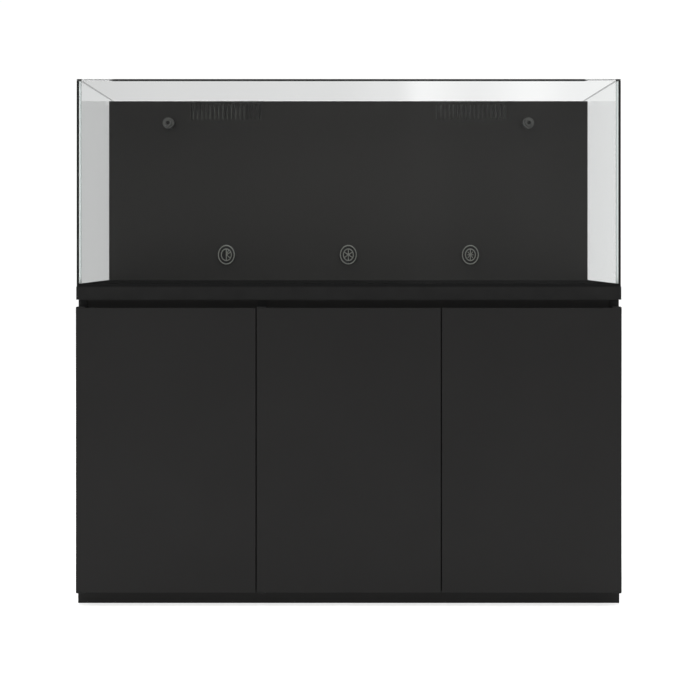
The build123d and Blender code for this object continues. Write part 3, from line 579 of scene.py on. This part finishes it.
def world():
    """A room for reflections, bright behind the object with soft strips and dim in front of it. The
    camera itself sees plain white."""
    sky = bpy.data.worlds.new("studio")
    sky.use_nodes = True
    tree = sky.node_tree
    tree.nodes.clear()
    out = tree.nodes.new("ShaderNodeOutputWorld")
    coords = tree.nodes.new("ShaderNodeTexCoord")
    split = tree.nodes.new("ShaderNodeSeparateXYZ")
    tree.links.new(coords.outputs["Generated"], split.inputs[0])
    across = map_range(tree, split.outputs["X"], -ROOM_SPAN, ROOM_SPAN, 0.0, 1.0)
    lean = map_range(tree, split.outputs["Z"], -ROOM_SPAN, ROOM_SPAN, -ROOM_LEAN, ROOM_LEAN)
    slant = tree.nodes.new("ShaderNodeMath")
    tree.links.new(across, slant.inputs[0])
    tree.links.new(lean, slant.inputs[1])
    ramp = tree.nodes.new("ShaderNodeValToRGB")
    ramp.color_ramp.interpolation = "EASE"
    stops = ramp.color_ramp.elements
    while len(stops) < len(ROOM_STRIPS):
        stops.new(0.5)
    for stop, (direction, level) in zip(stops, ROOM_STRIPS):
        stop.position = (direction + ROOM_SPAN) / (2 * ROOM_SPAN)
        stop.color = (level, level, level, 1)
    tree.links.new(slant.outputs[0], ramp.inputs["Fac"])
    facing = map_range(tree, split.outputs["Y"], -ROOM_TURN, ROOM_TURN, ROOM_FRONT, ROOM_BACK)
    level = tree.nodes.new("ShaderNodeMath")
    level.operation = "MULTIPLY"
    tree.links.new(facing, level.inputs[0])
    tree.links.new(ramp.outputs["Color"], level.inputs[1])
    room = tree.nodes.new("ShaderNodeBackground")
    room.inputs["Color"].default_value = (1, 1, 1, 1)
    tree.links.new(level.outputs[0], room.inputs["Strength"])
    plain = tree.nodes.new("ShaderNodeBackground")
    plain.inputs["Color"].default_value = (1, 1, 1, 1)
    plain.inputs["Strength"].default_value = BACKDROP
    path = tree.nodes.new("ShaderNodeLightPath")
    mixer = tree.nodes.new("ShaderNodeMixShader")
    tree.links.new(path.outputs["Is Camera Ray"], mixer.inputs["Fac"])
    tree.links.new(room.outputs[0], mixer.inputs[1])
    tree.links.new(plain.outputs[0], mixer.inputs[2])
    tree.links.new(mixer.outputs[0], out.inputs["Surface"])
    bpy.context.scene.world = sky


def floor():
    """A pale floor that gives off a little light, just under the object's feet."""
    bm = bmesh.new()
    bmesh.ops.create_grid(bm, x_segments=8, y_segments=8, size=FLOOR_SIZE)
    mesh = bpy.data.meshes.new("floor")
    bm.to_mesh(mesh)
    bm.free()
    obj = bpy.data.objects.new("floor", mesh)
    obj.location = (0, FLOOR_Y, -FLOOR_DROP)
    m = Nodes("pale_floor")
    white = (1.0, 1.0, 1.0)
    node = m.shader(Specular_IOR_Level=0.2, Emission_Color=white, Emission_Strength=FLOOR_GLOW)
    cloud = m.spread(m.noise(1.5, 3, 0.5), 0, 1)
    m.join(m.mix(cloud, tone(0.93), tone(0.96)), node.inputs["Base Color"])
    m.join(m.spread(m.noise(20, 3, 0.5), 0.6, 0.75), node.inputs["Roughness"])
    mesh.materials.append(m.material)
    bpy.context.scene.collection.objects.link(obj)


def studio():
    bpy.context.scene.view_settings.view_transform = "Standard"
    world()
    floor()
    for light in LIGHTS:
        area_light(*light)


# ---------------------------------------------------------------- small pieces
class Piece:
    """Collects mesh parts in the row frame, then makes one object that rides on a body."""

    def __init__(self, name, body, material, slot):
        self.name, self.body, self.material, self.slot = name, body, material, slot
        self.bm = bmesh.new()

    def absorb(self, part, matrix):
        bmesh.ops.transform(part, matrix=matrix, verts=part.verts)
        mesh = bpy.data.meshes.new("part")
        part.to_mesh(mesh)
        part.free()
        self.bm.from_mesh(mesh)
        bpy.data.meshes.remove(mesh)

    def lathe(self, profile, centre, axis=(0, 0, 1), steps=32, closed=False):
        """Turns (radius, height) points about an axis through centre. A closed profile makes a ring."""
        part = bmesh.new()
        rows = []
        for radius, height in profile:
            ring = []
            for k in range(steps):
                angle = 2 * math.pi * k / steps
                at = (radius * math.cos(angle), radius * math.sin(angle), height)
                ring.append(part.verts.new(at))
            rows.append(ring)
        pairs = list(zip(rows, rows[1:]))
        if closed:
            pairs.append((rows[-1], rows[0]))
        for low, high in pairs:
            for k in range(steps):
                nxt = (k + 1) % steps
                part.faces.new((low[k], low[nxt], high[nxt], high[k]))
        if not closed:
            part.faces.new(rows[0][::-1])
            part.faces.new(rows[-1])
        bmesh.ops.recalc_face_normals(part, faces=part.faces)
        turn = Vector((0, 0, 1)).rotation_difference(Vector(axis)).to_matrix().to_4x4()
        self.absorb(part, Matrix.Translation(centre) @ turn)

    def torus(self, radius, thick, centre, axis, steps=48, around=10):
        """A round ring of thickness thick about an axis through centre."""
        profile = []
        for k in range(around):
            angle = 2 * math.pi * k / around
            profile.append((radius + thick * math.cos(angle), thick * math.sin(angle)))
        self.lathe(profile, centre, axis, steps, closed=True)

    def loop(self, path, thick, centre, squeeze=1.0, around=10):
        """A closed bead along path, ((x, z), outward) pairs in the XZ plane, squeezed in X."""
        part = bmesh.new()
        rows = []
        for (x, z), out in path:
            row = []
            for j in range(around):
                turn = 2 * math.pi * j / around
                reach = thick * math.cos(turn)
                across = (x + out[0] * reach) * squeeze
                depth = thick * 0.8 * math.sin(turn)
                row.append(part.verts.new((across, depth, z + out[1] * reach)))
            rows.append(row)
        for row, following in zip(rows, rows[1:] + rows[:1]):
            for j in range(around):
                nxt = (j + 1) % around
                part.faces.new((row[j], row[nxt], following[nxt], following[j]))
        bmesh.ops.recalc_face_normals(part, faces=part.faces)
        self.absorb(part, Matrix.Translation(centre))

    def oval(self, radius, thick, centre, squeeze, steps=56):
        """A round bead about the Y axis, squeezed in X."""
        path = []
        for k in range(steps):
            angle = 2 * math.pi * k / steps
            out = (math.cos(angle), math.sin(angle))
            path.append(((radius * out[0], radius * out[1]), out))
        self.loop(path, thick, centre, squeeze)

    def box_at(self, size, place, soft=0.0):
        """A box with edges softened by soft, placed by a matrix."""
        part = bmesh.new()
        bmesh.ops.create_cube(part, size=1.0)
        bmesh.ops.scale(part, vec=size, verts=part.verts)
        if soft:
            bmesh.ops.bevel(part, geom=part.edges[:], offset=soft, segments=2, affect="EDGES")
        self.absorb(part, place)

    def bar(self, size, centre, soft=0.0):
        """A box centred at centre, square to the row frame."""
        self.box_at(size, Matrix.Translation(centre), soft)

    def screw(self, centre, axis, radius=0.0035):
        """A countersunk screw with a round recess, its head just proud of the surface."""
        head = [(radius * 0.5, -radius * 0.4), (radius, -0.0002), (radius, 0.0001)]
        head += [(radius * 0.86, 0.0004), (radius * 0.3, 0.0004), (radius * 0.26, -0.0006)]
        self.lathe(head, centre, axis, 20)

    def make(self, smooth=True):
        mesh = bpy.data.meshes.new(self.name)
        self.bm.to_mesh(mesh)
        self.bm.free()
        if smooth:
            for polygon in mesh.polygons:
                polygon.use_smooth = True
            mesh.set_sharp_from_angle(angle=SHARP)
        mesh.materials.append(self.material)
        obj = bpy.data.objects.new(self.name, mesh)
        bpy.context.scene.collection.objects.link(obj)
        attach(obj, self.body)


def guard_ribs():
    """Raised ribs on the intake guards, two oval beads round a spoked middle, in a pale grey that is
    painted highlight on glossy black rims.
    """
    material = moulded_material("rib_plastic", RIB_HIGHLIGHT_GREY, 0.5)
    low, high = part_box("intake_flanges")
    half = (high[0] - low[0]) / 2 - GUARD_R
    z = (low[2] + high[2]) / 2
    face = low[1]
    for name, x in (("left", -half), ("middle", 0.0), ("right", half)):
        ribs = Piece("guard_ribs_" + name, "cabinet", material, "black_plastic")
        for radius, thick in GUARD_BEADS:
            ribs.oval(radius, thick, (x, face, z), OVAL)
        inner = GUARD_BEADS[1][0]
        for angle, width, start, end in GUARD_SPOKES[name]:
            turn = Matrix.Rotation(math.radians(-angle), 4, "Y")
            size = ((end - start) * inner, SPOKE_T, width)
            middle = Matrix.Translation(((end + start) * inner / 2, 0, 0))
            squeeze = Matrix.Diagonal((OVAL, 1, 1, 1))
            place = Matrix.Translation((x, face, z)) @ squeeze @ turn @ middle
            ribs.box_at(size, place, SPOKE_SOFT)
        if name == "middle":
            ribs.lathe(GUARD_HUB, (x, face + HUB_SUNK, z), (0, -1, 0), 24)
        ribs.make()


def pane_ends():
    """The side panes' ground ends, pale strips beside the black corner joint."""
    m = Nodes("ground_glass")
    grit = m.noise(1500, 3, 0.7)
    node = m.shader(Roughness=0.55, Specular_IOR_Level=0.5)
    outer_part = m.spread(m.off_centre(), 0.0, 1.0, *PANE_END_X)
    pale = m.mix(m.spread(grit, 0, 1), (0.86, 0.88, 0.87), (0.95, 0.96, 0.955))
    m.join(m.mix(outer_part, (0.62, 0.64, 0.64), pale), node.inputs["Base Color"])
    m.join(m.bump(grit, 0.4, 0.0001), node.inputs["Normal"])
    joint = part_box("silicone_seams")
    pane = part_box("side_glass_right")
    y = FRONT_GLASS[1][1]
    for name, side in (("left", -1), ("right", 1)):
        strip = Piece("pane_end_" + name, "cabinet", m.material, "clear_glass")
        outer = joint[1][0] - JOINT_W
        inner = pane[0][0] + END_GAP
        height = pane[1][2] - pane[0][2] - GLASS_T / 2
        size = (outer - inner - END_GAP, END_T, height)
        centre = (side * (outer + inner) / 2, y + END_BACK, pane[0][2] + height / 2)
        strip.bar(size, centre, END_SOFT)
        strip.make(False)


def panel_edging():
    """The weir panel's black edging, the nets behind its combs in painted-light greys, and pale strips
    on the left comb's slot edges that are painted highlights.
    """
    edge = rubber_material("black_edging", 0.006, 0.5, 80)
    (x0, y0, z0), (x1, y1, z1) = WEIR
    trim = Piece("weir_edging", "cabinet", edge, "black_acrylic")
    top_w = EDGING_W + EDGING_PROUD
    y = y0 - EDGING_T / 2
    top = ((x0 + x1) / 2, y, z1 + EDGING_PROUD - top_w / 2)
    trim.bar((x1 - x0, EDGING_T, top_w), top, EDGING_SOFT)
    for x in (x0 + EDGING_W / 2, x1 - EDGING_W / 2):
        size = (EDGING_W, EDGING_T, z1 - z0 - EDGING_W)
        trim.bar(size, (x, y, (z0 + z1 - EDGING_W) / 2), EDGING_SOFT)
    trim.make(False)
    for name, side in (("left", -1), ("right", 1)):
        grey = SCREEN_PAINTED_GREY[name]
        net = moulded_material("screen_net_" + name, (grey, grey, grey * 0.95), 0.7, 1500, 0.0006)
        backing = Piece("comb_screen_" + name, "cabinet", net, "black_plastic")
        span = (COMB_SLOTS * COMB_PITCH, SCREEN_T, COMB_HIGH - COMB_LOW + SCREEN_OVER)
        centre = (side * COMB_X, y1 + SCREEN_BEHIND, (COMB_HIGH + COMB_LOW) / 2)
        backing.bar(span, centre, EDGING_SOFT)
        backing.make(False)
    # Painted highlights: pale strips along the left comb's slot edges, where light catches them.
    painted_edge = moulded_material("slot_edge_glint", (0.08, 0.08, 0.073), 0.5)
    edge_glints = Piece("comb_glints_left", "cabinet", painted_edge, "black_acrylic")
    for index in range(GLINT_COUNT):
        x = -COMB_X + (index - (COMB_SLOTS - 1) / 2) * COMB_PITCH
        least = GLINT_SHORT if index < GLINT_FEW else GLINT_TALL
        height = (COMB_HIGH - COMB_LOW) * (least + GLINT_SPREAD * random.random())
        place = (x + COMB_SLOT_W / 2 + GLINT_GAP, y0 - GLINT_OUT, COMB_LOW + height / 2)
        edge_glints.bar((GLINT_W, GLINT_T, height), place)
    edge_glints.make(False)


# ---------------------------------------------------------------- details inside and behind
def rounded_path(half_x, half_z, corner, steps=8):
    """Points and outward directions round a rounded rectangle in the XZ plane."""
    path = []
    for quarter, (sx, sz) in enumerate(((1, 1), (-1, 1), (-1, -1), (1, -1))):
        for k in range(steps + 1):
            angle = math.pi / 2 * (quarter + k / steps)
            out = (math.cos(angle), math.sin(angle))
            x = sx * (half_x - corner) + corner * out[0]
            z = sz * (half_z - corner) + corner * out[1]
            path.append(((x, z), out))
    return path


def opening_beads():
    """Rubber edge strips clipped round the back panel's cable openings."""
    rubber = rubber_material("edge_strip", 0.012, 0.6, 700)
    (_, front, _), (_, back, _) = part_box("back_panel")
    strips = Piece("opening_strips", "cabinet", rubber, "rubber")
    half_z = (OPENING_Z[1] - OPENING_Z[0]) / 2
    path = rounded_path(OPENING_HALF, half_z, OPENING_CORNER)
    for x in OPENING_X:
        for y in (front - BEAD_PROUD, back + BEAD_PROUD):
            strips.loop(path, OPENING_BEAD, (x, y, OPENING_Z[0] + half_z))
    strips.make()


def screws():
    """Screws of the back panel, and of the hinge leaves at the doors' tops and feet."""
    steel = steel_material("zinc_steel", 0.22, 0.8)
    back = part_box("back_panel")[1][1]
    rear = Piece("back_screws", "cabinet", steel, "steel")
    for x in BACK_SCREW_X:
        for z in BACK_SCREW_Z:
            if abs(x) in ENDS_ONLY_X and BACK_SCREW_Z[0] < z < BACK_SCREW_Z[-1]:
                continue
            rear.screw((x, back, z), (0, 1, 0))
    rear.make()
    for name, inward in (("left", 1), ("middle", 1), ("right", -1)):
        low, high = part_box("hinge_leaves_" + name)
        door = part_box("door_" + name)
        outer = low[0] if inward > 0 else high[0]
        leaf = Piece("leaf_screws_" + name, "door_" + name, steel, "steel")
        for reach in LEAF_SCREW_IN:
            for z, up in ((door[0][2], -1), (door[1][2], 1)):
                x = outer + inward * reach
                at = (x, (low[1] + high[1]) / 2, z - up * LEAF_SCREW_SUNK)
                leaf.screw(at, (0, 0, up), LEAF_SCREW_R)
        leaf.make()


def shelf_pins():
    """Rows of sleeved shelf-pin holes in the right bay."""
    sleeve = steel_material("pin_sleeve", 0.12, 0.7)
    pins = Piece("shelf_pin_sleeves", "cabinet", sleeve, "steel")
    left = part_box("partition")[1][0]
    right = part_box("side_panel_right")[0][0]
    for x, way in ((left, 1), (right, -1)):
        for y in PIN_Y:
            for z in PIN_Z:
                pins.lathe(SLEEVE, (x, y, z), (way, 0, 0), 16)
    pins.make()


def pipe_fittings():
    """Union collars beside the valves and clips that hold the return pipe to the back panel."""
    plastic = moulded_material("collar_plastic", (0.03, 0.031, 0.033), 0.4, 400)
    collars = Piece("union_collars", "cabinet", plastic, "pipe_plastic")
    for (x, y), bore, gap in UNIONS:
        for way in (-1, 1):
            z = VALVE_Z + way * gap
            outer = bore + COLLAR_T
            profile = [(bore, -0.009), (outer - 0.0008, -0.009), (outer, -0.008), (outer, -0.003)]
            profile += [(outer - 0.0012, -0.002), (outer - 0.0012, 0.002), (outer, 0.003)]
            profile += [(outer, 0.008), (outer - 0.0008, 0.009), (bore, 0.009)]
            collars.lathe(profile, (x, y, z), closed=True)
            for k in range(COLLAR_GRIPS):
                turn = Matrix.Rotation(2 * math.pi * k / COLLAR_GRIPS, 4, "Z")
                centre = Matrix.Translation((x, y, z + GRIP_UP))
                place = centre @ turn @ Matrix.Translation((outer, 0, 0))
                collars.box_at(GRIP_SIZE, place, GRIP_SOFT)
    collars.make()
    clips = Piece("pipe_clips", "cabinet", plastic, "black_plastic")
    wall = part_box("back_panel")[0][1]
    y, z = MANIFOLD
    for x in CLIP_X:
        clips.lathe(CLIP_RING, (x, y, z), (1, 0, 0), closed=True)
        depth = wall - y - CLIP_REACH
        size = (CLIP_FOOT[0], depth, CLIP_FOOT[1])
        clips.bar(size, (x, wall - depth / 2, z), CLIP_SOFT)
    clips.make()


def jet_throats():
    """Near-black discs just inside the return jets' spouts, painted shade in their holes."""
    dark = rubber_material("throat_shade_disc", 0.0015, 0.9, 1200)
    for name in ("left", "right"):
        low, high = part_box("jet_" + name)
        x, z = (low[0] + high[0]) / 2, (low[2] + high[2]) / 2
        backing = Piece("jet_throat_" + name, "jet_" + name, dark, "black_plastic")
        disc = ((THROAT_R, 0), (THROAT_R, THROAT_T))
        backing.lathe(disc, (x, low[1] + THROAT_IN, z), (0, 1, 0), 24)
        backing.make()


def pump_ribs():
    """Cooling ribs round the pump's motor and a cage over its inlet."""
    plastic = moulded_material("pump_rib_plastic", (0.022, 0.022, 0.024), 0.42)
    ribs = Piece("pump_ribs", "cabinet", plastic, "black_plastic")
    x, z = PUMP_AXIS
    for k in range(FINS):
        y = FIN_Y + FIN_PITCH * k
        ribs.lathe(FIN, (x, y, z), (0, 1, 0), 48, closed=True)
    for k in range(CAGE_BARS):
        turn = Matrix.Rotation(2 * math.pi * k / CAGE_BARS, 4, "Y")
        centre = Matrix.Translation((x, CAGE_Y, z))
        ribs.box_at(CAGE_BAR, centre @ turn @ Matrix.Translation((CAGE_R, 0, 0)), CAGE_SOFT)
    ribs.make()


def sock_trim():
    """The filter socks' two stitched hoops and side seam, and their rims with two tabs each."""
    thread = rubber_material("seam_tape", 0.35, 0.8, 900)
    seams = Piece("sock_seams", "cabinet", thread, "felt")
    for x, y in SOCK_AT:
        for down in HOOPS_DOWN:
            seams.torus(HOOP_R, HOOP_T, (x, y, SOCK_TOP - down), (0, 0, 1), 56, 6)
        seams.bar(SEAM_SIZE, (x, y - SEAM_R, SOCK_TOP - SEAM_DOWN), SEAM_SOFT)
    seams.make()
    ring = moulded_material("sock_ring", (0.05, 0.05, 0.052), 0.4)
    rims = Piece("sock_rims", "cabinet", ring, "black_plastic")
    for x, y in SOCK_AT:
        rims.torus(SOCK_RIM_R, SOCK_RIM_T, (x, y, SOCK_TOP + SOCK_RIM_UP), (0, 0, 1), 64, 8)
        for way in (-1, 1):
            rims.bar(TAB_SIZE, (x + way * SOCK_RIM_R, y, SOCK_TOP + TAB_UP), TAB_SOFT)
    rims.make()


camera()
studio()
dress_nodes()
guard_ribs()
pane_ends()
panel_edging()
opening_beads()
screws()
shelf_pins()
pipe_fittings()
pump_ribs()
sock_trim()
jet_throats()
